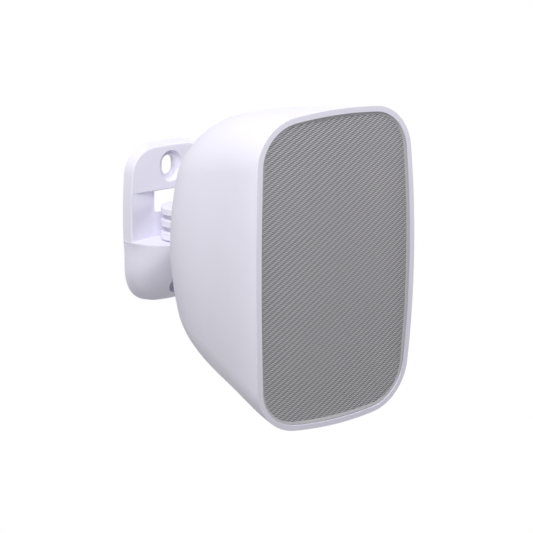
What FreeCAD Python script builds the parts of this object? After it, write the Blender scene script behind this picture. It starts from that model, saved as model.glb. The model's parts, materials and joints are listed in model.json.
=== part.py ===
import FreeCAD, Part
import math
import os
import re
import Sketcher
from FreeCAD import Placement, Rotation, Vector

# A wall speaker on its bracket. The wall is the plane y = 0, the speaker faces -y and z is up.
# The origin lies on the wall, midway between the bracket's two screw slots.

# Driving dimensions, in millimetres
DIMENSIONS = {
    # Cabinet: outline at four depths behind the middle of the front, then a rounded rear edge
    "wall_to_front": 192.5,
    "speaker_rise": 8,
    "cabinet_depth": 128,
    "shoulder_depth": 45,
    "waist_depth": 90,
    "front_half_width": 58.6,
    "front_half_height": 98.5,
    "front_side_radius": 891,
    "front_top_radius": 290,
    "front_corner_radius": 29,
    "shoulder_half_width": 55.4,
    "shoulder_half_height": 91.5,
    "shoulder_side_radius": 560,
    "shoulder_top_radius": 260,
    "shoulder_corner_radius": 34,
    "waist_half_width": 51.5,
    "waist_half_height": 83.6,
    "waist_side_radius": 300,
    "waist_top_radius": 220,
    "waist_corner_radius": 40,
    "rear_half_width": 45.8,
    "rear_half_height": 68.5,
    "rear_side_radius": 130,
    "rear_top_radius": 200,
    "rear_corner_radius": 40,
    "rear_rounding": 20,
    "rear_drop": 3,
    "cabinet_wall": 3.4,
    "dome_plan_radius": 435,
    "dome_side_radius": 1064,
    "ledge_width": 8,
    "ledge_thickness": 4,
    "fit_gap": 0.3,
    # Grille: domed sheet with slanting ridges and a raised lip, and the cloth on its back
    "grille_recess": 3,
    "grille_sheet": 1.2,
    "grille_lip_wall": 1.4,
    "grille_lip_recess": 0.7,
    "ridge_height": 0.8,
    "ridge_width": 1.5,
    "ridge_pitch": 2.8,
    "ridge_slope": 34,
    "cloth_thickness": 0.4,
    # Baffle
    "baffle_depth": 20,
    "baffle_thickness": 5,
    "gasket_thickness": 1,
    "side_screw_height": 22,
    # Woofer: depths run back from the front face of the baffle
    "woofer_height": -34,
    "woofer_radius": 50,
    "woofer_hole_radius": 43.5,
    "flange_thickness": 2.5,
    "landing_radius": 41,
    "basket_wall": 2,
    "basket_neck_radius": 33,
    "basket_depth": 30,
    "basket_floor": 2,
    "basket_bore": 15,
    "spider_seat_depth": 22,
    "spider_seat_radius": 27.5,
    "window_width": 34,
    "window_start": 4,
    "window_length": 14,
    "woofer_screw_circle": 47,
    "cone_radius": 36.8,
    "cone_rim": 1.8,
    "cone_depth": 17.7,
    "cone_thickness": 1.2,
    "roll_radius": 3,
    "roll_thickness": 0.6,
    "roll_lip": 1.5,
    "former_radius": 13.2,
    "former_wall": 0.5,
    "former_length": 25.5,
    "winding_thickness": 0.4,
    "winding_length": 6,
    "winding_start": 29,
    "cap_radius": 16,
    "cap_rise": 6.2,
    "cap_thickness": 0.8,
    "spider_thickness": 0.7,
    "spider_wave": 1,
    "spider_lip": 3,
    "air_gap": 0.3,
    "plate_radius": 31,
    "plate_thickness": 4,
    "magnet_radius": 35,
    "magnet_bore": 17,
    "magnet_thickness": 12,
    "pole_setback": 1,
    # Tweeter: depths run back from the front face of the baffle
    "tweeter_height": 52,
    "tweeter_radius": 30,
    "tweeter_hole_radius": 22,
    "tweeter_plate": 2.5,
    "tweeter_mouth_radius": 22,
    "tweeter_throat_radius": 13.6,
    "dome_radius": 12.9,
    "dome_rise": 5.5,
    "dome_film": 0.5,
    "dome_lip_radius": 16,
    "tweeter_magnet_radius": 21,
    "tweeter_magnet_depth": 17.5,
    "tweeter_screw_circle": 26,
    # Screws
    "screw_radius": 1.5,
    "screw_head_radius": 2.5,
    "screw_head_height": 1.8,
    "screw_bite": 4,
    # Crossover board on four posts inside the rear wall
    "board_half_width": 24,
    "board_top": 8,
    "board_bottom": -42,
    "board_thickness": 1.6,
    "post_height": 5,
    "post_radius": 3.2,
    "post_margin": 4,
    "coil_radius": 13,
    "coil_bore": 6,
    "coil_height": 14,
    "coil_across": -8,
    "coil_up": -7,
    "capacitor_radius": 5,
    "capacitor_length": 26,
    "capacitor_up": -27,
    "capacitor_spacing": 10.5,
    "resistor_width": 9,
    "resistor_length": 24,
    "resistor_height": 8,
    "resistor_across": 13,
    # Terminal plate with two push levers
    "terminal_up": 28,
    "terminal_half_width": 20,
    "terminal_half_height": 11,
    "terminal_flange": 2.5,
    "terminal_block_half_width": 15,
    "terminal_block_half_height": 8,
    "terminal_block_depth": 13,
    "terminal_screw_across": 17.5,
    "lever_pocket_depth": 8,
    "lever_pocket_half_height": 5.5,
    "lever_across": 7,
    "lever_width": 10.4,
    "lever_gap": 0.3,
    "lever_hub": 2,
    "lever_pin_radius": 0.9,
    "lever_pin_length": 0.8,
    "lever_proud": 3,
    "lever_room": 4.4,
    "wire_hole_radius": 1.5,
    "spring_radius": 1.6,
    "spring_wire": 0.5,
    # Rear mount and tilt bolt
    "mount_half_width": 20,
    "mount_half_height": 16,
    "mount_corner": 5,
    "mount_plate": 4,
    "mount_screw_across": 15.5,
    "mount_screw_up": 11.5,
    "tilt_reach": 16,
    "lug_thickness": 4,
    "lug_radius": 8,
    "bolt_radius": 2.5,
    "bolt_gap": 0.08,
    "bolt_head_radius": 4.5,
    "bolt_head_height": 3,
    "nut_across_flats": 8,
    "nut_thickness": 4,
    # Arm
    "arm_half_width": 8.7,
    "arm_head_radius": 7.5,
    "arm_bar_gap": 1.3,
    "arm_screw_back": 12.5,
    "arm_screw_radius": 2,
    "arm_screw_head_radius": 4.2,
    "arm_nut_across_flats": 7,
    "arm_screw_head_height": 2.5,
    "finger_gap": 0.2,
    "ring_radius": 8.2,
    # Pivot spool
    "pivot_out": 16.7,
    "spool_radius": 12,
    "spool_neck_radius": 5,
    "spool_foot": 0.8,
    "spool_foot_radius": 8,
    "spool_low_disc": 5.5,
    "spool_disc": 4.9,
    "spool_groove": 3.35,
    "spool_bevel": 0.7,
    # Wall bracket: depths run out from the wall
    "bracket_half_width": 33.2,
    "bracket_half_height": 53.8,
    "bracket_side_radius": 412,
    "bracket_top_radius": 260,
    "bracket_corner_radius": 20,
    "bracket_thickness": 7.5,
    "bracket_draft": 14,
    "bracket_edge": 1,
    "bracket_wall": 2.6,
    "ledge_level": -10,
    "bracket_ledge": 3.5,
    "panel_level": 22.8,
    "recess_half_width": 29.7,
    "recess_floor_half_width": 12,
    "recess_floor": 2.8,
    "cutout_half_width": 10.3,
    "cutout_bottom": 6,
    "cutout_top": 21,
    "cutout_corner": 2,
    "slot_height": 37.6,
    "slot_half_width": 4.7,
    "slot_half_straight": 2,
    "counterbore_half_width": 8.5,
    "counterbore_depth": 4,
    "counterbore_slope": 18,
    "boss_wall": 2.5,
    "hollow_run_out": 1.2,
    "box_top_reach": 30.5,
    "box_upper_reach": 27,
    "box_lower_reach": 18.5,
    "box_foot_reach": 10,
    "box_toe_reach": 5,
    "box_front_radius": 48,
    "box_upper_level": -25,
    "box_lower_level": -40,
    "box_foot_level": -50,
    "box_toe_level": -53.5,
    "box_top_half_width": 31.6,
    "box_lower_half_width": 29.7,
    "box_foot_half_width": 21.5,
    "box_toe_half_width": 13,
    "box_top_corner": 23,
    "box_upper_corner": 20,
    "box_lower_corner": 13,
    "box_foot_corner": 6,
    "box_toe_corner": 3,
    "box_top_spread": 33.3,
    "box_upper_spread": 32.6,
    "box_lower_spread": 30.9,
    "box_foot_spread": 23.6,
    "box_toe_spread": 14,
    "pocket_inner": 13,
    "pocket_outer": 24,
    "pocket_low": 27,
    "pocket_high": 43,
}

# Lines through the dimensions that several pieces share
SPEAKER = ("0", "-wall_to_front", "speaker_rise")
WOOFER = ("0", "baffle_depth - wall_to_front", "speaker_rise + woofer_height")
TWEETER = ("0", "baffle_depth - wall_to_front", "speaker_rise + tweeter_height")
REAR_FACE = "cabinet_depth - wall_to_front"
SEAT_DEPTH = "baffle_depth + baffle_thickness + gasket_thickness"
GROOVE_LOW = "ledge_level + spool_foot + spool_low_disc"
GROOVE_HIGH = f"{GROOVE_LOW} + spool_groove + spool_disc"
SPOOL_TOP = f"{GROOVE_HIGH} + spool_groove + spool_disc"
ARM_LEVEL = f"{GROOVE_LOW} + spool_groove + spool_disc / 2"
TILT_DEPTH = f"{REAR_FACE} + tilt_reach"
OUTLINE = ("half_width", "half_height", "side_radius", "top_radius", "corner_radius")
ROUNDING_ANGLES = (0, 35, 62, 84)
HERE = ("0", "0", "0")

doc = FreeCAD.newDocument("wall_speaker")
sheet = doc.addObject("Spreadsheet::Sheet", "Sizes")
for row, (name, number) in enumerate(DIMENSIONS.items(), 1):
    sheet.set(f"A{row}", name.replace("_", " "))
    sheet.set(f"B{row}", str(number))
    sheet.setAlias(f"B{row}", name)
working = doc.addObject("Spreadsheet::Sheet", "Working")
doc.recompute()
pieces = []


def bound(text):
    """The expression with each dimension looked up in the sheet."""
    return re.sub(r"\b(?!deg\b)[a-z_]\w*\b(?!\()", lambda found: "Sizes." + found.group(0), text)


def value(text):
    """The number that an expression stands for now."""
    working.set("A1", "=" + bound(text))
    working.recompute()
    return float(working.get("A1"))


def point(place):
    return Vector(*(value(text) for text in place))


def settle(item, place):
    """Places an object at three expressions."""
    for axis, text in zip("xyz", place):
        item.setExpression(f"Placement.Base.{axis}", bound(text))
    return item


def finished(item, label):
    """Marks an object as one of the pieces, under the name of its node."""
    item.Label = label
    pieces.append(item)
    return item


# Sketches


def new_body(name, place=HERE):
    return settle(doc.addObject("PartDesign::Body", name), place)


def drawing(body, role, offset="0"):
    sketch = body.newObject("Sketcher::SketchObject", body.Name + "_sketch")
    plane = next(feature for feature in body.Origin.OriginFeatures if feature.Role == role)
    sketch.AttachmentSupport = [(plane, "")]
    sketch.MapMode = "FlatFace"
    sketch.setExpression("AttachmentOffset.Base.z", bound(offset))
    return sketch


def dimension(sketch, text, kind, *ends):
    index = sketch.addConstraint(Sketcher.Constraint(kind, *ends, value(text)))
    if re.search("[a-z]", text):
        sketch.setExpression(f"Constraints[{index}]", bound(text))


def pin(sketch, item, end, across, up):
    dimension(sketch, across, "DistanceX", -1, 1, item, end)
    dimension(sketch, up, "DistanceY", -1, 1, item, end)


def arc_between(start, end, axis, level, turn):
    """An arc whose centre has the given coordinate on one axis."""
    middle = (start + end) / 2
    step = end - start
    if axis == "x":
        centre = Vector(level, middle.y - (level - middle.x) * step.x / step.y)
    else:
        centre = Vector(middle.x - (level - middle.y) * step.y / step.x, level)
    first, last = (start, end) if turn > 0 else (end, start)
    angles = [math.atan2(p.y - centre.y, p.x - centre.x) for p in (first, last)]
    circle = Part.Circle(centre, Vector(0, 0, 1), (start - centre).Length)
    return Part.ArcOfCircle(circle, angles[0], angles[1])


def polygon(sketch, corners):
    """A closed outline. A corner is (across, up), and (across, up, axis, level, turn) starts an arc."""
    offset = sketch.GeometryCount
    count = len(corners)
    spots = [Vector(value(corner[0]), value(corner[1])) for corner in corners]
    for index, corner in enumerate(corners):
        start, end = spots[index], spots[(index + 1) % count]
        if len(corner) == 2:
            sketch.addGeometry(Part.LineSegment(start, end))
        else:
            sketch.addGeometry(arc_between(start, end, corner[2], value(corner[3]), corner[4]))
    starts = [1 if len(corner) == 2 or corner[4] > 0 else 2 for corner in corners]
    for index, corner in enumerate(corners):
        after = (index + 1) % count
        joint = (offset + index, 3 - starts[index], offset + after, starts[after])
        sketch.addConstraint(Sketcher.Constraint("Coincident", *joint))
        pin(sketch, offset + index, starts[index], corner[0], corner[1])
        if len(corner) > 2:
            kind = "DistanceX" if corner[2] == "x" else "DistanceY"
            dimension(sketch, corner[3], kind, -1, 1, offset + index, 3)


def rectangle(sketch, left, right, bottom, top):
    polygon(sketch, [(left, bottom), (right, bottom), (right, top), (left, top)])


def circle(sketch, radius, across="0", up="0"):
    centre = Vector(value(across), value(up))
    item = sketch.addGeometry(Part.Circle(centre, Vector(0, 0, 1), value(radius)))
    dimension(sketch, radius, "Radius", item)
    pin(sketch, item, 3, across, up)


def tangent_chain(sketch, items):
    for item, after in zip(items, items[1:] + items[:1]):
        sketch.addConstraint(Sketcher.Constraint("Tangent", item, 2, after, 1))


def stadium(sketch, radius, half_straight, up):
    """An upright slot with round ends, on the middle line."""
    wide, straight, level = (value(text) for text in (radius, half_straight, up))
    high, low = Vector(0, level + straight), Vector(0, level - straight)
    side = Vector(wide, 0)
    upward = Vector(0, 0, 1)
    items = [
        sketch.addGeometry(Part.ArcOfCircle(Part.Circle(high, upward, wide), 0, math.pi)),
        sketch.addGeometry(Part.LineSegment(high - side, low - side)),
        sketch.addGeometry(Part.ArcOfCircle(Part.Circle(low, upward, wide), math.pi, 2 * math.pi)),
        sketch.addGeometry(Part.LineSegment(low + side, high + side)),
    ]
    tangent_chain(sketch, items)
    pin(sketch, items[0], 3, "0", f"{up} + {half_straight}")
    pin(sketch, items[2], 3, "0", f"{up} - ({half_straight})")
    dimension(sketch, radius, "Radius", items[0])
    dimension(sketch, radius, "Radius", items[2])


def corner_centre(half_width, half_height, side, top, corner):
    """Centre of the corner arc that runs into a bowed side and a bowed top."""
    start = Vector(half_width - side, 0)
    step = Vector(0, half_height - top) - start
    reach, other = side - corner, top - corner
    along = (step.Length**2 + reach**2 - other**2) / (2 * step.Length)
    aside = math.sqrt(reach**2 - along**2)
    ahead = step / step.Length
    square = Vector(-ahead.y, ahead.x)
    ways = [start + ahead * along + square * (aside * way) for way in (1, -1)]
    return max(ways, key=lambda spot: spot.x + spot.y)


def bowed_outline(sketch, half_width, half_height, side_radius, top_radius, corner_radius):
    """A rounded rectangle with bowed sides: eight arcs, each tangent to the next."""
    sizes = [value(text) for text in (half_width, half_height, side_radius, top_radius, corner_radius)]
    wide, high, side, top, corner = sizes
    centre = corner_centre(*sizes)
    low = math.atan2(centre.y, centre.x - wide + side)
    steep = math.atan2(centre.y - high + top, centre.x)
    half = math.pi
    arcs = [
        (wide - side, 0, side, -low, low),
        (centre.x, centre.y, corner, low, steep),
        (0, high - top, top, steep, half - steep),
        (-centre.x, centre.y, corner, half - steep, half - low),
        (side - wide, 0, side, half - low, half + low),
        (-centre.x, -centre.y, corner, half + low, half + steep),
        (0, top - high, top, half + steep, 2 * half - steep),
        (centre.x, -centre.y, corner, 2 * half - steep, 2 * half - low),
    ]
    for x, y, radius, start, end in arcs:
        ring = Part.Circle(Vector(x, y), Vector(0, 0, 1), radius)
        sketch.addGeometry(Part.ArcOfCircle(ring, start, end))
    tangent_chain(sketch, list(range(8)))
    for item, text in ((0, f"{half_width} - ({side_radius})"), (4, f"{side_radius} - ({half_width})")):
        sketch.addConstraint(Sketcher.Constraint("PointOnObject", item, 3, -1))
        dimension(sketch, side_radius, "Radius", item)
        dimension(sketch, text, "DistanceX", -1, 1, item, 3)
    for item, text in ((2, f"{half_height} - ({top_radius})"), (6, f"{top_radius} - ({half_height})")):
        sketch.addConstraint(Sketcher.Constraint("PointOnObject", item, 3, -2))
        dimension(sketch, top_radius, "Radius", item)
        dimension(sketch, text, "DistanceY", -1, 1, item, 3)
    for item in (1, 3, 5, 7):
        dimension(sketch, corner_radius, "Radius", item)


# Features


def pad(body, sketch, length, backwards=False, draft=None):
    feature = body.newObject("PartDesign::Pad", body.Name + "_pad")
    feature.Profile = sketch
    feature.setExpression("Length", bound(length))
    feature.Reversed = backwards
    if draft:
        feature.setExpression("TaperAngle", bound(draft))
    body.Tip = feature
    return feature


def pad_both_ways(body, sketch, length):
    feature = pad(body, sketch, length)
    feature.Midplane = True
    return feature


def pocket(body, sketch, length, backwards=False):
    feature = body.newObject("PartDesign::Pocket", body.Name + "_pocket")
    feature.Profile = sketch
    feature.setExpression("Length", bound(length))
    feature.Reversed = backwards
    body.Tip = feature
    return feature


def pocket_both_ways(body, sketch, length):
    feature = pocket(body, sketch, length)
    feature.Midplane = True
    return feature


def loft(body, sections, kind="PartDesign::AdditiveLoft"):
    feature = body.newObject(kind, body.Name + "_loft")
    feature.Profile = sections[0]
    feature.Sections = sections[1:]
    body.Tip = feature
    return feature


def turned(name, axis, outline, place):
    """A piece turned about its own axis. Each corner of its outline is (along, radius)."""
    body = new_body(name, place)
    sketch = drawing(body, "XZ_Plane" if axis == "Z" else "XY_Plane")
    if axis == "X":
        polygon(sketch, outline)
    else:
        swap = {"x": "y", "y": "x"}
        polygon(sketch, [
            (corner[1], corner[0]) if len(corner) == 2
            else (corner[1], corner[0], swap[corner[2]], corner[3], -corner[4])
            for corner in outline
        ])
    feature = body.newObject("PartDesign::Revolution", name + "_turn")
    feature.Profile = sketch
    feature.ReferenceAxis = (sketch, ["H_Axis" if axis == "X" else "V_Axis"])
    feature.Angle = 360
    body.Tip = feature
    return body


def cut(name, base, *tools):
    """The base with each tool taken out of it in turn."""
    for index, tool in enumerate(tools):
        feature = doc.addObject("Part::Cut", f"{name}_cut_{index}")
        feature.Base = base
        feature.Tool = tool
        base = feature
    return base


def common(name, one, other):
    feature = doc.addObject("Part::Common", name)
    feature.Base = one
    feature.Tool = other
    return feature


def block(name, low, size):
    """A box from its low corner."""
    box = settle(doc.addObject("Part::Box", name), low)
    for side, text in zip(("Length", "Width", "Height"), size):
        box.setExpression(side, bound(text))
    return box


def group(name, seed, spots):
    """Copies of one small piece as the separate solids of one node."""
    doc.recompute()
    feature = doc.addObject("Part::Feature", name)
    origin = seed.Placement.Base
    copies = []
    for spot in spots:
        copy = seed.Shape.copy()
        copy.translate(spot - origin)
        copies.append(copy)
    feature.Shape = Part.makeCompound(copies)
    feature.Placement = Placement()
    return feature


def ring_of_spots(place, radius, count, first_angle):
    """Spots round an axis along y."""
    centre = point(place)
    turn = Rotation(Vector(0, 1, 0), 360 / count)
    arm = Rotation(Vector(0, 1, 0), first_angle).multVec(Vector(value(radius), 0, 0))
    spots = []
    for _ in range(count):
        spots.append(centre + arm)
        arm = turn.multVec(arm)
    return spots


def drills(name, radius, start, length, spots):
    """Round tools along y through the given spots, from a given depth in the part."""
    reach = value(length)
    depth = value(start)
    tools = [
        Part.makeCylinder(value(radius), reach, Vector(spot.x, depth, spot.z), Vector(0, 1, 0))
        for spot in spots
    ]
    feature = doc.addObject("Part::Feature", name)
    feature.Shape = Part.makeCompound(tools)
    return feature


def screw(name, length, spots, way=""):
    """Pan-head screws along y, each with the underside of its head at its spot."""
    outline = [
        ("-screw_head_height", "0"),
        ("-screw_head_height", "screw_head_radius - screw_head_height / 3"),
        ("-screw_head_height / 2", "screw_head_radius"),
        ("0", "screw_head_radius"),
        ("0", "screw_radius"),
        (length, "screw_radius"),
        (length, "0"),
    ]
    seed = turned(name + "_seed", "Y", [(f"{way}({along})", radius) for along, radius in outline], HERE)
    return finished(group(name, seed, spots), name)


def hexagon(sketch, across_flats):
    corner = f"({across_flats}) / sqrt(3)"
    angles = range(0, 360, 60)
    polygon(sketch, [(f"{corner} * cos({turn} deg)", f"{corner} * sin({turn} deg)") for turn in angles])


def nut(name, role, across_flats, bore, thickness, place):
    """A hexagon nut that lies on the given plane of its own frame."""
    body = new_body(name, place)
    sketch = drawing(body, role)
    hexagon(sketch, across_flats)
    circle(sketch, bore)
    pad(body, sketch, thickness)
    return finished(body, name)


# Cabinet


def hull(name, inset):
    """The cabinet's form, drawn in by an inset all round and at the rear."""
    body = new_body(name, SPEAKER)
    sections = []

    def section(depth, sizes, shrink):
        sketch = drawing(body, "XZ_Plane", f"-({depth})")
        sketch.setExpression("AttachmentOffset.Base.y", bound(f"-rear_drop * ({depth}) / cabinet_depth"))
        bowed_outline(sketch, *(f"{size} - ({shrink})" for size in sizes))
        sections.append(sketch)

    section("0", [f"front_{part}" for part in OUTLINE], inset)
    section("shoulder_depth", [f"shoulder_{part}" for part in OUTLINE], inset)
    section("waist_depth", [f"waist_{part}" for part in OUTLINE], inset)
    bend = f"(rear_rounding - ({inset}))"
    last = ROUNDING_ANGLES[-1]
    for angle in ROUNDING_ANGLES:
        depth = f"cabinet_depth - rear_rounding + {bend} * sin({angle} deg) / sin({last} deg)"
        share = f"({depth} - waist_depth) / (cabinet_depth - waist_depth)"
        sizes = [f"waist_{part} + (rear_{part} - waist_{part}) * {share}" for part in OUTLINE]
        section(depth, sizes, f"rear_rounding - {bend} * cos({angle} deg)")
    loft(body, sections)
    return body


def dome_arc(inset, turn):
    """The two ends of the dome's upright arc, drawn in by an inset."""
    reach = "1.3 * front_half_height"
    bulge = f"(dome_side_radius - sqrt((dome_side_radius - ({inset}))^2 - ({reach})^2))"
    low, high = (bulge, f"-{reach}"), (bulge, reach)
    start, end = (high, low) if turn > 0 else (low, high)
    return (*start, "x", "dome_side_radius", turn), end


def dome_turn(body, kind, outline):
    """Turns an outline of the dome's section about the upright axis behind the front."""
    sketch = drawing(body, "YZ_Plane")
    polygon(sketch, outline)
    across = value("dome_plan_radius")
    centre_line = Part.LineSegment(Vector(across, -1), Vector(across, 1))
    item = sketch.addGeometry(centre_line, True)
    pin(sketch, item, 1, "dome_plan_radius", "-1")
    pin(sketch, item, 2, "dome_plan_radius", "1")
    feature = body.newObject(kind, body.Name + "_dome")
    feature.Profile = sketch
    feature.ReferenceAxis = (sketch, ["Axis0"])
    body.Tip = feature
    return feature


def dome_band(name, front, back):
    """A domed sheet between two depths behind the front of the dome."""
    body = new_body(name, SPEAKER)
    feature = dome_turn(body, "PartDesign::Revolution", [*dome_arc(front, 1), *dome_arc(back, -1)])
    feature.Midplane = True
    feature.setExpression("Angle", bound("2 * atan(1.3 * front_half_width / dome_plan_radius)"))
    return body


def across_speaker(name, depth, thickness):
    """A slab across the whole speaker at a depth behind its front."""
    return block(name, (
        "-1.5 * front_half_width", f"{depth} - wall_to_front", "speaker_rise - 1.5 * front_half_height",
    ), ("3 * front_half_width", thickness, "3 * front_half_height"))


# Cabinet shell: outside, less the room inside round a ledge for the baffle
outside = hull("cabinet_outside", "0")
groove = dome_turn(outside, "PartDesign::Groove", [
    *dome_arc("0", 1),
    ("-front_half_width", "-1.3 * front_half_height"),
    ("-front_half_width", "1.3 * front_half_height"),
])
groove.Angle = 360
inside = hull("cabinet_inside", "cabinet_wall")
fitted = hull("fitted_outline", "cabinet_wall + fit_gap")
ledge_hole = hull("ledge_hole", "cabinet_wall + ledge_width")
ledge = cut("ledge", across_speaker("ledge_slab", SEAT_DEPTH, "ledge_thickness"), ledge_hole)
shell = cut("shell", outside, cut("cavity", inside, ledge))


def ledge_spots():
    """Screw spots along the middle of the ledge: the four corners and both sides."""
    depth = value(SEAT_DEPTH) / value("shoulder_depth")
    sizes = [
        value(f"front_{part}") * (1 - depth) + value(f"shoulder_{part}") * depth for part in OUTLINE
    ]
    inset = value("cabinet_wall + ledge_width / 2")
    centre = corner_centre(*sizes)
    reach = (sizes[4] - inset) * math.sqrt(0.5)
    rise = value("speaker_rise")
    corner_x, corner_z = centre.x + reach, centre.y + reach
    spots = [(corner_x, corner_z), (corner_x, -corner_z), (sizes[0] - inset, value("side_screw_height"))]
    front = value("baffle_depth - wall_to_front")
    return [Vector(side * x, front, rise + z) for side in (1, -1) for x, z in spots]


baffle_spots = ledge_spots()
screw_length = "baffle_thickness + gasket_thickness + ledge_thickness"
HOLE = "screw_radius + bolt_gap"
baffle_holes = drills("baffle_holes", HOLE, "baffle_depth - wall_to_front - 1", f"{screw_length} + 2",
    baffle_spots)

# Posts for the crossover board stand on the rear wall
BOARD_BACK = f"{REAR_FACE} - cabinet_wall - post_height"
BOARD_FRONT = f"{BOARD_BACK} - board_thickness"
post_across = value("board_half_width - post_margin")
post_levels = [
    value(f"speaker_rise + {text}") for text in ("board_top - post_margin", "board_bottom + post_margin")
]
post_spots = [Vector(side * post_across, 0, level) for side in (1, -1) for level in post_levels]
posts = drills("posts", "post_radius", BOARD_BACK, "post_height + cabinet_wall / 2", post_spots)
shell_with_posts = doc.addObject("Part::Fuse", "shell_with_posts")
shell_with_posts.Base = shell
shell_with_posts.Tool = posts
board_holes = drills("board_holes", HOLE, f"{BOARD_FRONT} - 1", "board_thickness + screw_bite + 1", post_spots)

mount_spots = [
    Vector(x * value("mount_screw_across"), 0, value(ARM_LEVEL) + z * value("mount_screw_up"))
    for x in (1, -1) for z in (1, -1)
]
MOUNT_BITE = "mount_plate + cabinet_wall + 2"
mount_holes = drills("mount_holes", HOLE, f"{REAR_FACE} - cabinet_wall - 1", "cabinet_wall + 2", mount_spots)
TERMINAL = ("0", REAR_FACE, "speaker_rise + terminal_up")
terminal_window = block("terminal_window", (
    "-terminal_block_half_width - fit_gap", f"{REAR_FACE} - 2 * cabinet_wall",
    "speaker_rise + terminal_up - terminal_block_half_height - fit_gap",
), (
    "2 * (terminal_block_half_width + fit_gap)", "3 * cabinet_wall",
    "2 * (terminal_block_half_height + fit_gap)",
))
terminal_spots = [
    Vector(side * value("terminal_screw_across"), 0, value(TERMINAL[2])) for side in (1, -1)
]
terminal_holes = drills("terminal_holes", HOLE, f"{REAR_FACE} - cabinet_wall - 1",
    "cabinet_wall + terminal_flange + 2", terminal_spots)
finished(cut("cabinet", shell_with_posts, baffle_holes, board_holes, mount_holes, terminal_window,
    terminal_holes), "cabinet")

# Grille: a domed sheet with slanting ridges on its face and a lip round it, and the cloth behind it
RIDGE_FOOT = "grille_recess + ridge_height"
SHEET_BACK = f"{RIDGE_FOOT} + grille_sheet"
grille_sheet = common("grille_sheet", fitted, dome_band("sheet_band", RIDGE_FOOT, SHEET_BACK))
lip_ring = cut("lip_ring", fitted, hull("lip_hole", "cabinet_wall + fit_gap + grille_lip_wall"))
grille_lip = common("grille_lip", lip_ring, dome_band("lip_band", "grille_lip_recess", SHEET_BACK))
ridge_field = new_body("ridge_field", SPEAKER)
sketch = drawing(ridge_field, "XZ_Plane")
LIP_MIDDLE = "cabinet_wall + fit_gap + grille_lip_wall / 2"
EDGE_DEPTH = "(grille_recess + front_half_width^2 / (2 * dome_plan_radius))"
bowed_outline(sketch, *(
    f"front_{part} + (shoulder_{part} - front_{part}) * {EDGE_DEPTH} / shoulder_depth - ({LIP_MIDDLE})"
    for part in OUTLINE
))
pad(ridge_field, sketch, "baffle_depth", backwards=True)


def ridge_comb():
    """Parallel bars at the slope of the weave, across the whole front."""
    reach = value("1.3 * (front_half_width + front_half_height)")
    pitch = value("ridge_pitch")
    width = value("ridge_width")
    depth = value("baffle_depth")
    count = int(reach / pitch)
    bars = [
        Part.makeBox(2 * reach, depth, width, Vector(-reach, 0, number * pitch - width / 2))
        for number in range(-count, count + 1)
    ]
    comb = doc.addObject("Part::Feature", "ridge_comb")
    comb.Shape = Part.makeCompound(bars)
    comb.Placement = Placement(point(SPEAKER), Rotation(Vector(0, 1, 0), -value("ridge_slope")))
    return comb


ridge_band = dome_band("ridge_band", "grille_recess", f"{RIDGE_FOOT} + grille_sheet / 3")
ridges = common("ridges", ridge_band, common("ridge_bars", ridge_field, ridge_comb()))
grille = doc.addObject("Part::MultiFuse", "grille")
grille.Shapes = [grille_sheet, grille_lip, ridges]
finished(grille, "grille")
finished(common("grille_cloth", fitted,
    dome_band("cloth_band", SHEET_BACK, f"{SHEET_BACK} + cloth_thickness")), "grille_cloth")

# Baffle with its gasket and screws
FRONT_OF_BAFFLE = "baffle_depth - wall_to_front"
woofer_hole = drills("woofer_hole", "woofer_hole_radius", f"{FRONT_OF_BAFFLE} - 1", "baffle_thickness + 2",
    [point(WOOFER)])
tweeter_hole = drills("tweeter_hole", "tweeter_hole_radius", f"{FRONT_OF_BAFFLE} - 1", "baffle_thickness + 2",
    [point(TWEETER)])
FLANGE_BACK = "-gasket_thickness"
FLANGE_FRONT = "-gasket_thickness - flange_thickness"
woofer_spots = [
    spot + Vector(0, value(FLANGE_FRONT), 0) for spot in ring_of_spots(WOOFER, "woofer_screw_circle", 4, 45)
]
WOOFER_SCREW = "flange_thickness + gasket_thickness + screw_bite"
woofer_holes = drills("woofer_holes", HOLE, f"{FRONT_OF_BAFFLE} - 2 * flange_thickness",
    "3 * baffle_thickness", woofer_spots)
tweeter_spots = [
    spot - Vector(0, value("tweeter_plate"), 0)
    for spot in ring_of_spots(TWEETER, "tweeter_screw_circle", 4, 45)
]
tweeter_holes = drills("tweeter_holes", HOLE, f"{FRONT_OF_BAFFLE} - 2 * tweeter_plate",
    "3 * baffle_thickness", tweeter_spots)
baffle_slab = across_speaker("baffle_slab", "baffle_depth", "baffle_thickness")
baffle_blank = common("baffle_blank", fitted, baffle_slab)
finished(cut("baffle", baffle_blank, woofer_hole, tweeter_hole, baffle_holes, woofer_holes, tweeter_holes),
    "baffle")
gasket_blank = common("gasket_blank", fitted,
    across_speaker("gasket_slab", "baffle_depth + baffle_thickness", "gasket_thickness"))
finished(cut("baffle_gasket", gasket_blank, ledge_hole, baffle_holes), "baffle_gasket")
screw("baffle_screws", screw_length, baffle_spots)

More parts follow.
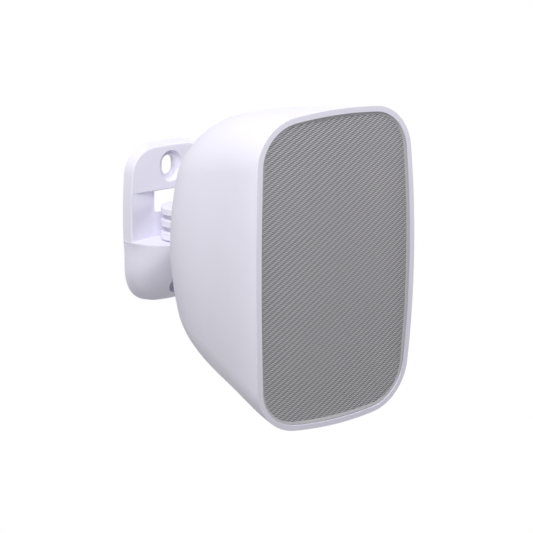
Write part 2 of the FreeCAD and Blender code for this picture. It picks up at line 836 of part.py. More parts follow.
# Woofer
basket = turned("basket_turned", "Y", [
    (FLANGE_FRONT, "woofer_radius"),
    (FLANGE_BACK, "woofer_radius"),
    (FLANGE_BACK, "landing_radius + basket_wall"),
    ("spider_seat_depth", "basket_neck_radius"),
    ("basket_depth", "basket_neck_radius"),
    ("basket_depth", "basket_bore"),
    ("basket_depth - basket_floor", "basket_bore"),
    ("basket_depth - basket_floor", "spider_seat_radius"),
    ("spider_seat_depth", "spider_seat_radius"),
    ("spider_seat_depth", "basket_neck_radius - basket_wall"),
    (FLANGE_BACK, "landing_radius"),
    (FLANGE_FRONT, "landing_radius"),
], WOOFER)
WINDOW_DEPTH = f"{FRONT_OF_BAFFLE} + window_start"
wide_window = block("wide_window", ("-woofer_radius", WINDOW_DEPTH, f"{WOOFER[2]} - window_width / 2"),
    ("2 * woofer_radius", "window_length", "window_width"))
tall_window = block("tall_window", ("-window_width / 2", WINDOW_DEPTH, f"{WOOFER[2]} - woofer_radius"),
    ("window_width", "window_length", "2 * woofer_radius"))
finished(cut("woofer_basket", basket, wide_window, tall_window, woofer_holes), "woofer_basket")
gasket_ring = turned("woofer_gasket_ring", "Y", [
    (FLANGE_BACK, "woofer_hole_radius"), ("0", "woofer_hole_radius"),
    ("0", "woofer_radius"), (FLANGE_BACK, "woofer_radius"),
], WOOFER)
finished(cut("woofer_gasket", gasket_ring, woofer_holes), "woofer_gasket")
screw("woofer_screws", WOOFER_SCREW, woofer_spots)

CONE_NECK = f"{FLANGE_FRONT} + cone_depth"
CONE_INNER = "cone_radius - cone_rim"
finished(turned("woofer_cone", "Y", [
    (FLANGE_FRONT, "cone_radius"),
    (FLANGE_FRONT, CONE_INNER),
    (CONE_NECK, "former_radius"),
    (f"{CONE_NECK} + cone_thickness", "former_radius"),
    (f"{FLANGE_FRONT} + cone_thickness", "cone_radius"),
], WOOFER), "woofer_cone")

CAP_SEAT = f"{FLANGE_FRONT} + cone_depth * ({CONE_INNER} - cap_radius) / ({CONE_INNER} - former_radius)"
finished(turned("woofer_dust_cap", "Y", [
    (CAP_SEAT, "cap_radius", "y", "0", 1),
    (f"{CAP_SEAT} - cap_rise", "0"),
    (f"{CAP_SEAT} - cap_rise + cap_thickness", "0", "y", "0", -1),
    (CAP_SEAT, "cap_radius - cap_thickness"),
], WOOFER), "woofer_dust_cap")

LIP_FRONT = f"{FLANGE_FRONT} - roll_thickness"
ROLL_OUTSIDE = "cone_radius + 2 * roll_radius"
finished(turned("woofer_surround", "Y", [
    (FLANGE_FRONT, f"{ROLL_OUTSIDE} + roll_lip"),
    (LIP_FRONT, f"{ROLL_OUTSIDE} + roll_lip"),
    (LIP_FRONT, ROLL_OUTSIDE, "x", LIP_FRONT, 1),
    (LIP_FRONT, "cone_radius"),
    (LIP_FRONT, CONE_INNER),
    (FLANGE_FRONT, CONE_INNER),
    (FLANGE_FRONT, "cone_radius + roll_thickness", "x", FLANGE_FRONT, -1),
    (FLANGE_FRONT, f"{ROLL_OUTSIDE} - roll_thickness"),
], WOOFER), "woofer_surround")


def spider_outline():
    """A flat disc with ring-shaped waves between the voice coil and its seat in the basket."""
    shares = (0, 0.15, 0.3, 0.45, 0.6, 0.75, 0.9)
    waves = ("0", "0", "-spider_wave", "spider_wave", "-spider_wave", "spider_wave", "0")
    radii = [f"former_radius + (spider_seat_radius - former_radius) * {share}" for share in shares]
    radii.append("spider_seat_radius + spider_lip")
    front = [(f"spider_seat_depth - spider_thickness + {wave}", r) for wave, r in zip((*waves, "0"), radii)]
    back = [(f"spider_seat_depth + {wave}", radius) for wave, radius in zip((*waves, "0"), radii)]
    return front + back[::-1]


finished(turned("woofer_spider", "Y", spider_outline(), WOOFER), "woofer_spider")
finished(turned("voice_coil", "Y", [
    (CONE_NECK, "former_radius - former_wall"),
    (CONE_NECK, "former_radius"),
    ("winding_start", "former_radius"),
    ("winding_start", "former_radius + winding_thickness"),
    ("winding_start + winding_length", "former_radius + winding_thickness"),
    ("winding_start + winding_length", "former_radius"),
    (f"{CONE_NECK} + former_length", "former_radius"),
    (f"{CONE_NECK} + former_length", "former_radius - former_wall"),
], WOOFER), "voice_coil")

MAGNET_FRONT = "basket_depth + plate_thickness"
MAGNET_BACK = f"{MAGNET_FRONT} + magnet_thickness"
GAP_RADIUS = "former_radius + winding_thickness + air_gap"
finished(turned("woofer_top_plate", "Y", [
    ("basket_depth", GAP_RADIUS), ("basket_depth", "plate_radius"),
    (MAGNET_FRONT, "plate_radius"), (MAGNET_FRONT, GAP_RADIUS),
], WOOFER), "woofer_top_plate")
finished(turned("woofer_magnet", "Y", [
    (MAGNET_FRONT, "magnet_bore"), (MAGNET_FRONT, "magnet_radius"),
    (MAGNET_BACK, "magnet_radius"), (MAGNET_BACK, "magnet_bore"),
], WOOFER), "woofer_magnet")
POLE_RADIUS = "former_radius - former_wall - air_gap"
finished(turned("woofer_yoke", "Y", [
    ("basket_depth + pole_setback", "0"),
    ("basket_depth + pole_setback", POLE_RADIUS),
    (MAGNET_BACK, POLE_RADIUS),
    (MAGNET_BACK, "plate_radius"),
    (f"{MAGNET_BACK} + plate_thickness", "plate_radius"),
    (f"{MAGNET_BACK} + plate_thickness", "0"),
], WOOFER), "woofer_yoke")

# Tweeter
plate_turned = turned("tweeter_plate_turned", "Y", [
    ("-tweeter_plate", "tweeter_radius"),
    ("0", "tweeter_radius"),
    ("0", "tweeter_throat_radius"),
    ("-tweeter_plate / 3", "tweeter_throat_radius"),
    ("-tweeter_plate", "tweeter_mouth_radius"),
], TWEETER)
finished(cut("tweeter_faceplate", plate_turned, tweeter_holes), "tweeter_faceplate")
finished(turned("tweeter_dome", "Y", [
    ("0", "dome_lip_radius"),
    ("0", "dome_radius", "y", "0", 1),
    ("-dome_rise", "0"),
    ("dome_film - dome_rise", "0", "y", "0", -1),
    ("dome_film", "dome_radius - dome_film"),
    ("dome_film", "dome_lip_radius"),
], TWEETER), "tweeter_dome")
RING_BORE = "dome_radius - dome_film + air_gap"
finished(turned("tweeter_magnet", "Y", [
    ("dome_film", RING_BORE),
    ("dome_film", "tweeter_magnet_radius"),
    ("dome_film + tweeter_magnet_depth", "tweeter_magnet_radius"),
    ("dome_film + tweeter_magnet_depth", "0"),
    ("4 * dome_film", "0"),
    ("4 * dome_film", f"{RING_BORE} - 4 * air_gap"),
    ("tweeter_magnet_depth / 2", f"{RING_BORE} - 4 * air_gap"),
    ("tweeter_magnet_depth / 2", RING_BORE),
], TWEETER), "tweeter_magnet")
screw("tweeter_screws", "tweeter_plate + screw_bite", tweeter_spots)

# Crossover board and what is soldered to it
board = block("board_blank", ("-board_half_width", BOARD_FRONT, "speaker_rise + board_bottom"),
    ("2 * board_half_width", "board_thickness", "board_top - board_bottom"))
finished(cut("crossover_board", board, board_holes), "crossover_board")
board_front_level = value(BOARD_FRONT)
screw("board_screws", "board_thickness + screw_bite",
    [Vector(spot.x, board_front_level, spot.z) for spot in post_spots])
finished(turned("crossover_coil", "Y", [
    ("-coil_height", "coil_bore"), ("0", "coil_bore"), ("0", "coil_radius"), ("-coil_height", "coil_radius"),
], ("coil_across", BOARD_FRONT, "speaker_rise + coil_up")), "crossover_coil")
capacitor = turned("capacitor_seed", "X", [
    ("-capacitor_length / 2", "0"),
    ("-capacitor_length / 2", "0.8 * capacitor_radius"),
    ("-0.46 * capacitor_length", "capacitor_radius"),
    ("capacitor_length / 2", "capacitor_radius"),
    ("capacitor_length / 2", "0"),
], HERE)
finished(group("crossover_capacitors", capacitor, [
    point(("0", f"{BOARD_FRONT} - capacitor_radius", f"speaker_rise + capacitor_up{step}"))
    for step in ("", " - capacitor_spacing")
]), "crossover_capacitors")
finished(block("crossover_resistor", (
    "resistor_across - resistor_width / 2", f"{BOARD_FRONT} - resistor_height",
    "speaker_rise + coil_up - resistor_length / 2",
), ("resistor_width", "resistor_height", "resistor_length")), "crossover_resistor")

# Terminal plate with two push levers
LEVER_REACH = "lever_width / 2 + lever_gap"
HINGE_UP = "lever_pocket_half_height - lever_hub - lever_gap"
terminal = new_body("terminal_body", TERMINAL)
sketch = drawing(terminal, "XZ_Plane")
rectangle(sketch, "-terminal_half_width", "terminal_half_width",
    "-terminal_half_height", "terminal_half_height")
pad(terminal, sketch, "terminal_flange", backwards=True)
sketch = drawing(terminal, "XZ_Plane")
rectangle(sketch, "-terminal_block_half_width", "terminal_block_half_width",
    "-terminal_block_half_height", "terminal_block_half_height")
pad(terminal, sketch, "terminal_block_depth")
sketch = drawing(terminal, "XZ_Plane", "-terminal_flange")
for side in ("-", ""):
    rectangle(sketch, f"{side}lever_across - ({LEVER_REACH})", f"{side}lever_across + {LEVER_REACH}",
        "-lever_pocket_half_height", "lever_pocket_half_height")
pocket(terminal, sketch, "lever_pocket_depth", backwards=True)
sketch = drawing(terminal, "XZ_Plane", "-terminal_flange")
for side in ("-", ""):
    circle(sketch, "wire_hole_radius", f"{side}lever_across", "lever_room / 2 - lever_pocket_half_height")
pocket(terminal, sketch, "terminal_flange + terminal_block_depth", backwards=True)
sketch = drawing(terminal, "YZ_Plane")
circle(sketch, "lever_pin_radius + bolt_gap", "0", HINGE_UP)
pocket_both_ways(terminal, sketch, f"2 * (lever_across + {LEVER_REACH} + lever_pin_length + bolt_gap)")
finished(cut("terminal_plate", terminal, terminal_holes), "terminal_plate")
flange_face = value(f"{REAR_FACE} + terminal_flange")
screw("terminal_screws", "terminal_flange + cabinet_wall + 2",
    [Vector(spot.x, flange_face, spot.z) for spot in terminal_spots], "-")


def lever(name, side):
    body = new_body(name, (f"{side}lever_across", REAR_FACE, f"speaker_rise + terminal_up + {HINGE_UP}"))
    sketch = drawing(body, "YZ_Plane")
    bottom = f"-({HINGE_UP}) - lever_pocket_half_height + lever_room"
    polygon(sketch, [
        ("-lever_hub", "0", "y", "0", -1),
        ("lever_hub", "0"),
        ("terminal_flange + lever_proud", f"{bottom} + lever_hub"),
        ("terminal_flange + lever_proud", f"{bottom} + lever_hub / 2"),
        ("terminal_flange + lever_proud / 2", bottom),
        ("0", bottom),
    ])
    pad_both_ways(body, sketch, "lever_width")
    sketch = drawing(body, "YZ_Plane")
    circle(sketch, "lever_pin_radius")
    pad_both_ways(body, sketch, f"2 * ({LEVER_REACH} + lever_pin_length)")
    return finished(body, name)


lever("terminal_lever_red", "-")
lever("terminal_lever_black", "")
SPRING_FLOOR = f"{REAR_FACE} + terminal_flange - lever_pocket_depth"
SPRING_LENGTH = "lever_pocket_depth - terminal_flange - lever_hub"
spring = turned("spring_seed", "Y", [
    ("0", "spring_radius - spring_wire"), ("0", "spring_radius"),
    (SPRING_LENGTH, "spring_radius"), (SPRING_LENGTH, "spring_radius - spring_wire"),
], HERE)
finished(group("lever_springs", spring, [
    point((f"{side}lever_across", SPRING_FLOOR, f"speaker_rise + terminal_up + {HINGE_UP} - spring_radius"))
    for side in ("-", "")
]), "lever_springs")

# Rear mount: a plate with two lugs for the tilt bolt
LUG_INSIDE = "arm_half_width + fit_gap"
LUG_OUTSIDE = f"{LUG_INSIDE} + lug_thickness"
TILT = ("0", TILT_DEPTH, ARM_LEVEL)
mount = new_body("mount_body", ("0", REAR_FACE, ARM_LEVEL))
sketch = drawing(mount, "XZ_Plane")
polygon(sketch, [
    ("mount_corner - mount_half_width", "-mount_half_height"),
    ("mount_half_width - mount_corner", "-mount_half_height", "x", "mount_half_width - mount_corner", 1),
    ("mount_half_width", "mount_corner - mount_half_height"),
    ("mount_half_width", "mount_half_height - mount_corner", "x", "mount_half_width - mount_corner", 1),
    ("mount_half_width - mount_corner", "mount_half_height"),
    ("mount_corner - mount_half_width", "mount_half_height", "x", "mount_corner - mount_half_width", 1),
    ("-mount_half_width", "mount_half_height - mount_corner"),
    ("-mount_half_width", "mount_corner - mount_half_height", "x", "mount_corner - mount_half_width", 1),
])
pad(mount, sketch, "mount_plate", backwards=True)
sketch = drawing(mount, "YZ_Plane")
polygon(sketch, [
    ("mount_plate / 2", "-lug_radius - mount_plate / 2"),
    ("tilt_reach", "-lug_radius", "x", "tilt_reach", 1),
    ("tilt_reach", "lug_radius"),
    ("mount_plate / 2", "lug_radius + mount_plate / 2"),
])
pad_both_ways(mount, sketch, f"2 * ({LUG_OUTSIDE})")
sketch = drawing(mount, "YZ_Plane")
rectangle(sketch, "mount_plate", "tilt_reach + 2 * lug_radius", "-2 * lug_radius", "2 * lug_radius")
pocket_both_ways(mount, sketch, f"2 * ({LUG_INSIDE})")
sketch = drawing(mount, "YZ_Plane")
circle(sketch, "bolt_radius + bolt_gap", "tilt_reach", "0")
pocket_both_ways(mount, sketch, f"2 * ({LUG_OUTSIDE}) + 2")
sketch = drawing(mount, "XZ_Plane", "-mount_plate - 1")
for across in ("-mount_screw_across", "mount_screw_across"):
    for up in ("-mount_screw_up", "mount_screw_up"):
        circle(sketch, HOLE, across, up)
pocket(mount, sketch, "mount_plate + 2", backwards=True)
finished(mount, "rear_mount")
mount_face = value(f"{REAR_FACE} + mount_plate")
screw("mount_screws", MOUNT_BITE, [Vector(spot.x, mount_face, spot.z) for spot in mount_spots], "-")
finished(turned("tilt_bolt", "X", [
    (f"-({LUG_OUTSIDE}) - bolt_head_height", "0"),
    (f"-({LUG_OUTSIDE}) - bolt_head_height", "bolt_head_radius"),
    (f"-({LUG_OUTSIDE})", "bolt_head_radius"),
    (f"-({LUG_OUTSIDE})", "bolt_radius"),
    (f"{LUG_OUTSIDE} + nut_thickness + 1", "bolt_radius"),
    (f"{LUG_OUTSIDE} + nut_thickness + 1", "0"),
], TILT), "tilt_bolt")
nut("tilt_nut", "YZ_Plane", "nut_across_flats", "bolt_radius + bolt_gap", "nut_thickness",
    (LUG_OUTSIDE, TILT_DEPTH, ARM_LEVEL))

# Arm: two mirrored halves that close round the necks of the spool and the tilt bolt
PIVOT_BACK = f"(-pivot_out - ({TILT_DEPTH}))"
BAR_END = f"{PIVOT_BACK} - spool_radius - arm_bar_gap"
BAR_HALF_HEIGHT = "spool_disc / 2 + spool_groove - finger_gap"
FINGER = "spool_groove - 2 * finger_gap"
arm = new_body("arm_left", TILT)
sketch = drawing(arm, "YZ_Plane")
polygon(sketch, [
    ("0", "arm_head_radius", "x", "0", 1),
    ("0", "-arm_head_radius"),
    (BAR_END, f"-({BAR_HALF_HEIGHT})"),
    (BAR_END, BAR_HALF_HEIGHT),
])
pad(arm, sketch, "arm_half_width", backwards=True)
for level in ("spool_disc / 2 + finger_gap", "-spool_disc / 2 - spool_groove + finger_gap"):
    sketch = drawing(arm, "XY_Plane", level)
    polygon(sketch, [
        ("-ring_radius", f"{BAR_END} - ring_radius / 2"),
        ("0", f"{BAR_END} - ring_radius / 2"),
        ("0", f"{PIVOT_BACK} + ring_radius", "y", PIVOT_BACK, 1),
        ("-ring_radius", PIVOT_BACK),
    ])
    pad(arm, sketch, FINGER)
sketch = drawing(arm, "XY_Plane")
circle(sketch, "spool_neck_radius + bolt_gap", "0", PIVOT_BACK)
pocket_both_ways(arm, sketch, f"4 * ({BAR_HALF_HEIGHT})")
sketch = drawing(arm, "YZ_Plane")
circle(sketch, "bolt_radius + bolt_gap")
circle(sketch, "arm_screw_radius + bolt_gap", "arm_screw_back", "0")
pocket_both_ways(arm, sketch, "4 * arm_half_width")
sketch = drawing(arm, "YZ_Plane", "-arm_half_width")
circle(sketch, "arm_screw_head_radius + bolt_gap", "arm_screw_back", "0")
pocket(arm, sketch, "arm_screw_head_height", backwards=True)
finished(arm, "arm_left")
arm_right = doc.addObject("Part::Mirroring", "arm_right")
arm_right.Source = arm
arm_right.Normal = Vector(1, 0, 0)
finished(arm_right, "arm_right")
ARM_SCREW = ("0", f"{TILT_DEPTH} + arm_screw_back", ARM_LEVEL)
finished(turned("arm_screw", "X", [
    ("-arm_half_width", "0"),
    ("-arm_half_width", "arm_screw_head_radius"),
    ("arm_screw_head_height - arm_half_width", "arm_screw_head_radius"),
    ("arm_screw_head_height - arm_half_width", "arm_screw_radius"),
    ("arm_half_width", "arm_screw_radius"),
    ("arm_half_width", "0"),
], ARM_SCREW), "arm_screw")
nut("arm_nut", "YZ_Plane", "arm_nut_across_flats", "arm_screw_radius + bolt_gap", "arm_screw_head_height",
    ("arm_half_width - arm_screw_head_height", ARM_SCREW[1], ARM_LEVEL))

# Pivot spool on the bracket's ledge, with its bolt and nut
PIVOT = ("0", "-pivot_out", "ledge_level")


def spool_outline():
    """A low disc on a foot, then two more discs with necks between them."""
    corners = [
        ("0", "bolt_radius + bolt_gap"), ("0", "spool_foot_radius"), ("spool_foot", "spool_foot_radius"),
    ]
    bottom = "spool_foot"
    for number, thickness in enumerate(("spool_low_disc", "spool_disc", "spool_disc")):
        top = f"{bottom} + {thickness}"
        corners += [
            (bottom, "spool_radius - spool_bevel / 2"), (f"{bottom} + spool_bevel / 2", "spool_radius"),
            (f"{top} - spool_bevel", "spool_radius"), (top, "spool_radius - spool_bevel"),
        ]
        bottom = f"{top} + spool_groove"
        if number < 2:
            corners += [(top, "spool_neck_radius"), (bottom, "spool_neck_radius")]
    corners.append((top, "bolt_radius + bolt_gap"))
    return corners


spool = turned("pivot_spool", "Z", spool_outline(), PIVOT)
SPOOL_HEIGHT = f"{SPOOL_TOP} - ledge_level"
sketch = drawing(spool, "XY_Plane", SPOOL_HEIGHT)
hexagon(sketch, "nut_across_flats + 2 * bolt_gap")
pocket(spool, sketch, "nut_thickness")
finished(spool, "pivot_spool")
finished(turned("pivot_bolt", "Z", [
    ("-bracket_ledge - bolt_head_height", "0"),
    ("-bracket_ledge - bolt_head_height", "bolt_head_radius"),
    ("-bracket_ledge", "bolt_head_radius"),
    ("-bracket_ledge", "bolt_radius"),
    (SPOOL_HEIGHT, "bolt_radius"),
    (SPOOL_HEIGHT, "0"),
], PIVOT), "pivot_bolt")
nut("pivot_nut", "XY_Plane", "nut_across_flats", "bolt_radius + bolt_gap", "nut_thickness",
    ("0", "-pivot_out", f"{SPOOL_TOP} - nut_thickness"))


# Wall bracket


def box_outline(sketch, half_width, reach, front_radius, corner_radius, spread):
    """Flat against the wall, bowed in front, with leaning sides that spread towards the wall."""
    sizes = (half_width, reach, front_radius, corner_radius, spread)
    wide, out, bow, corner, foot = (value(size) for size in sizes)
    centre = Vector(0, bow - out)
    turn_x = wide - corner
    turn_y = centre.y - math.sqrt((bow - corner)**2 - turn_x**2)
    lean = math.atan2(centre.y - turn_y, turn_x)
    away = Vector(foot - turn_x, -turn_y)
    tilt = math.acos(corner / away.Length) - math.atan2(away.y, away.x)
    touch_x = turn_x + corner * math.cos(tilt)
    touch_y = turn_y - corner * math.sin(tilt)
    upward = Vector(0, 0, 1)
    half = math.pi
    left, right = Vector(-turn_x, turn_y), Vector(turn_x, turn_y)
    items = [
        sketch.addGeometry(Part.LineSegment(Vector(-foot, 0), Vector(-touch_x, touch_y))),
        sketch.addGeometry(Part.ArcOfCircle(Part.Circle(left, upward, corner), half + tilt, half + lean)),
        sketch.addGeometry(Part.ArcOfCircle(Part.Circle(centre, upward, bow), half + lean, 2 * half - lean)),
        sketch.addGeometry(Part.ArcOfCircle(Part.Circle(right, upward, corner), -lean, -tilt)),
        sketch.addGeometry(Part.LineSegment(Vector(touch_x, touch_y), Vector(foot, 0))),
        sketch.addGeometry(Part.LineSegment(Vector(foot, 0), Vector(-foot, 0))),
    ]
    for item, after in zip(items[:4], items[1:5]):
        sketch.addConstraint(Sketcher.Constraint("Tangent", item, 2, after, 1))
    for item, after in ((items[4], items[5]), (items[5], items[0])):
        sketch.addConstraint(Sketcher.Constraint("Coincident", item, 2, after, 1))
    pin(sketch, items[0], 1, f"-({spread})", "0")
    pin(sketch, items[4], 2, spread, "0")
    dimension(sketch, f"{corner_radius} - ({half_width})", "DistanceX", -1, 1, items[1], 3)
    dimension(sketch, f"{half_width} - ({corner_radius})", "DistanceX", -1, 1, items[3], 3)
    for item in (items[1], items[3]):
        dimension(sketch, corner_radius, "Radius", item)
    dimension(sketch, front_radius, "Radius", items[2])
    pin(sketch, items[2], 3, "0", f"{front_radius} - ({reach})")


BOX_SECTIONS = [
    ("ledge_level", "box_top_half_width", "box_top_reach", "box_top_corner", "box_top_spread"),
    ("box_upper_level", "box_top_half_width", "box_upper_reach", "box_upper_corner", "box_upper_spread"),
    ("box_lower_level", "box_lower_half_width", "box_lower_reach", "box_lower_corner", "box_lower_spread"),
    ("box_foot_level", "box_foot_half_width", "box_foot_reach", "box_foot_corner", "box_foot_spread"),
    ("box_toe_level", "box_toe_half_width", "box_toe_reach", "box_toe_corner", "box_toe_spread"),
]


def box_loft(body, sections, shrink):
    sketches = []
    for level, half_width, reach, corner, spread in sections:
        sketch = drawing(body, "XY_Plane", level)
        sizes = (half_width, reach, "box_front_radius", corner, spread)
        box_outline(sketch, *(f"{size} - ({shrink})" for size in sizes))
        sketches.append(sketch)
    return loft(body, sketches)


bracket = new_body("bracket_body")
sketch = drawing(bracket, "XZ_Plane")
bowed_outline(sketch, *(f"bracket_{part}" for part in OUTLINE))
plate = pad(bracket, sketch, "bracket_thickness", draft="-bracket_draft")
doc.recompute()
front_face = min(plate.Shape.Faces, key=lambda face: face.CenterOfMass.y)
rim = [
    f"Edge{number}" for number, edge in enumerate(plate.Shape.Edges, 1)
    if any(edge.isSame(other) for other in front_face.Edges)
]
rounded = bracket.newObject("PartDesign::Fillet", "bracket_rim")
rounded.Base = (plate, rim)
rounded.setExpression("Radius", bound("bracket_edge"))
bracket.Tip = rounded
sketch = drawing(bracket, "XY_Plane", "ledge_level")
polygon(sketch, [
    ("-recess_half_width", "-bracket_thickness"),
    ("-recess_floor_half_width", "-recess_floor"),
    ("recess_floor_half_width", "-recess_floor"),
    ("recess_half_width", "-bracket_thickness"),
    ("recess_half_width", "-2 * bracket_thickness"),
    ("-recess_half_width", "-2 * bracket_thickness"),
])
pocket(bracket, sketch, "panel_level - ledge_level", backwards=True)
# The plate ends under the ledge, where the box takes over its outline
sketch = drawing(bracket, "XZ_Plane", "-1")
rectangle(sketch, "-2 * bracket_half_width", "2 * bracket_half_width",
    "-2 * bracket_half_height", "ledge_level - bracket_ledge")
pocket(bracket, sketch, "bracket_thickness + 2", backwards=True)
box_loft(bracket, BOX_SECTIONS, "0")
COUNTERBORE_FLOOR = "bracket_thickness - counterbore_depth"
sketch = drawing(bracket, "XZ_Plane", COUNTERBORE_FLOOR)
stadium(sketch, "counterbore_half_width", "slot_half_straight", "-slot_height")
pocket(bracket, sketch, "2 * box_top_reach", backwards=True)
sketch = drawing(bracket, "XZ_Plane", COUNTERBORE_FLOOR)
stadium(sketch, "counterbore_half_width - counterbore_depth * tan(counterbore_slope * 1 deg)",
    "slot_half_straight", "slot_height")
funnel = pocket(bracket, sketch, "counterbore_depth + bracket_edge", backwards=True)
funnel.setExpression("TaperAngle", bound("counterbore_slope"))
sketch = drawing(bracket, "XZ_Plane", "-1")
for sign in ("-", ""):
    stadium(sketch, "slot_half_width", "slot_half_straight", f"{sign}slot_height")
pocket(bracket, sketch, "bracket_thickness + 2", backwards=True)
sketch = drawing(bracket, "XZ_Plane", "-1")
polygon(sketch, [
    ("cutout_corner - cutout_half_width", "cutout_bottom"),
    ("cutout_half_width - cutout_corner", "cutout_bottom", "x", "cutout_half_width - cutout_corner", 1),
    ("cutout_half_width", "cutout_bottom + cutout_corner"),
    ("cutout_half_width", "cutout_top"),
    ("-cutout_half_width", "cutout_top"),
    ("-cutout_half_width", "cutout_bottom + cutout_corner", "x", "cutout_corner - cutout_half_width", 1),
])
pocket(bracket, sketch, "bracket_thickness + 2", backwards=True)
sketch = drawing(bracket, "XY_Plane", "ledge_level + 1")
circle(sketch, "bolt_radius + bolt_gap", "0", "-pivot_out")
pocket(bracket, sketch, "2 * bracket_ledge")
sketch = drawing(bracket, "XZ_Plane")
for left, right in (("-pocket_outer", "-pocket_inner"), ("pocket_inner", "pocket_outer")):
    rectangle(sketch, left, right, "pocket_low", "pocket_high")
pocket(bracket, sketch, "bracket_thickness - bracket_wall", backwards=True)

# The lower box is hollow behind, round the column of the lower screw
hollow = new_body("bracket_hollow", ("0", "hollow_run_out", "0"))
inner_sections = [("ledge_level - bracket_ledge", *BOX_SECTIONS[0][1:]), *BOX_SECTIONS[1:3]]
inner_sections.append(("box_foot_level + bracket_wall", *BOX_SECTIONS[3][1:]))
box_loft(hollow, inner_sections, "bracket_wall")
column = new_body("screw_column")
sketch = drawing(column, "XZ_Plane", "-1")
stadium(sketch, "counterbore_half_width + boss_wall", "slot_half_straight", "-slot_height")
pad(column, sketch, "2 * box_top_reach")
finished(cut("wall_bracket", bracket, cut("bracket_hollow_round", hollow, column)), "wall_bracket")

# Every object has to be sound before anything is written
doc.recompute()
faults = [item.Name for item in doc.Objects if {"Invalid", "Error"} & set(item.State)]
faults += [item.Label for item in pieces if item.Shape.isNull() or not item.Shape.isValid()]
if faults:
    raise SystemExit("not sound: " + ", ".join(faults))
os.makedirs("parts", exist_ok=True)
for item in pieces:
    item.Shape.exportStep(f"parts/{item.Label}.step")
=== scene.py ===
import json
import math

import bpy
import numpy as np
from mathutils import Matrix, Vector


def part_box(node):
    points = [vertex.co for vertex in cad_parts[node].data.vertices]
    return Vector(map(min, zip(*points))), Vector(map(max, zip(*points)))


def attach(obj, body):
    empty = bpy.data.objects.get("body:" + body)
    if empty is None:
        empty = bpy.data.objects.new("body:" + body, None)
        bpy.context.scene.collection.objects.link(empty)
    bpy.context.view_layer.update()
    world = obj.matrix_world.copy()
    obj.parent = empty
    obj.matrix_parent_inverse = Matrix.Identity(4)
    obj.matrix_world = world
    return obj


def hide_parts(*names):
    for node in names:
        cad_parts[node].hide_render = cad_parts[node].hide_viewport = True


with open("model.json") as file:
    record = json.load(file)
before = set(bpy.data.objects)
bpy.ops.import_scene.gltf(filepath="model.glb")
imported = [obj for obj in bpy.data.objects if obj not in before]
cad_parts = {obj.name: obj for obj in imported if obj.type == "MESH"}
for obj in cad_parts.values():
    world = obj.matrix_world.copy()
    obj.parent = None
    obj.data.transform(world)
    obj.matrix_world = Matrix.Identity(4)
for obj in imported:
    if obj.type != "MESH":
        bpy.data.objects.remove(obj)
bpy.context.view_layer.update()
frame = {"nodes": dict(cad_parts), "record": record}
nodes = frame["nodes"]
MM = 0.001

# Camera, in the frame of the part
CAMERA_PLACE = Vector((-0.7531, -1.1710, 0.3571))
CAMERA_AIM = Vector((0.02996, -0.07383, -0.0210))
LENS_MM = 145.6
SENSOR_MM = 36

# Front of the speaker: the apex and the radii of the dome that its rim follows
FRONT_APEX = Vector((0, -192.5, 8)) * MM
DOME_PLAN_RADIUS = 435 * MM
DOME_SIDE_RADIUS = 1064 * MM

# Grille's outline
GRILLE_SIDE_RADIUS = 887 * MM
GRILLE_TOP_RADIUS = 286 * MM
GRILLE_CORNER_RADIUS = 25.3 * MM

# Woven sheet: its recess, its bulge as a share of the dome's, its closed back and its grid
SHEET_RECESS = 3.05 * MM
SHEET_BULGE = 0.65
SHEET_EDGE = 1 * MM
SHEET_BACK = 1.8 * MM
SHEET_PASSES = 3
GRID_ACROSS = 0.77 * MM
GRID_UP = 0.33 * MM

# Weave: fine crossed threads, and the slanting wale
WEAVE_HEIGHT = 0.5 * MM
THREAD_PITCH = 1.26 * MM
THREAD_SLOPE = math.radians(19)
WALE_PITCH = 2.85 * MM
WALE_SLOPE = math.radians(33.5)
WALE_SHARE = 0.2

# Lip round the sheet: its section, its growth past the solid's outline, its tone on the weave's
# scale, and how finely it follows the outline
LIP_WALL = 1.5 * MM
LIP_OVERLAP = 0.6 * MM
LIP_FOOT = 0.1 * MM
LIP_ROUND = 0.2 * MM
LIP_RECESS = 0.7 * MM
LIP_BACK = 5.05 * MM
LIP_GROWTH = 0.15 * MM
LIP_TONE = 0.62
LIP_STEP = 1 * MM
OUTLINE_SAMPLES = 4001
OUTLINE_PASSES = 8

# Noise textures: the middle range of their values, and features per metre
NOISE_LOW, NOISE_HIGH = 0.3, 0.7
DRIFT_SCALE = 18
SHEEN_SCALE = 90
SHEEN_SPREAD = 0.05
FIBRE_SCALE = 300
FUZZ_SCALE = 2600
FUZZ_DEPTH = 0.04 * MM

# Stage: floor and lamps in metres, lamps in degrees and watts
FLOOR_LEVEL = -1.6
FLOOR_SIZE = 6
FLOOR_DRIFT_SCALE = 3
FLOOR_ROUGHNESS = 0.8
SURROUND_STRENGTH = 0.25
BACKGROUND_RAYS = ("Is Camera Ray", "Is Glossy Ray", "Is Transmission Ray")
LAMP_AIM = FRONT_APEX + Vector((0, 66, 0)) * MM
PLAIN = (1, 1, 1)
COOL = (0.93, 0.94, 1)
LAMPS = (
    # name, azimuth, elevation, distance, size, power, colour
    ("above", 0, 85, 0.45, 0.35, 0.32, PLAIN),
    ("above_left", 180, 55, 0.45, 0.35, 0.35, PLAIN),
    ("left", 192, 26, 0.4, 0.2, 0.26, PLAIN),
    ("front", 290, 45, 0.6, 0.3, 0.41, COOL),
    ("front_left", 225, 45, 2, 1.2, 21.5, PLAIN),
    ("right", 0, 5, 2, 1.2, 28, COOL),
)


def srgb(red, green, blue):
    """A colour as it looks on a screen, 0 to 255, in the linear values that shaders use."""
    def linear(level):
        level /= 255
        return level / 12.92 if level < 0.04045 else ((level + 0.055) / 1.055) ** 2.4
    return (linear(red), linear(green), linear(blue), 1)


# Materials


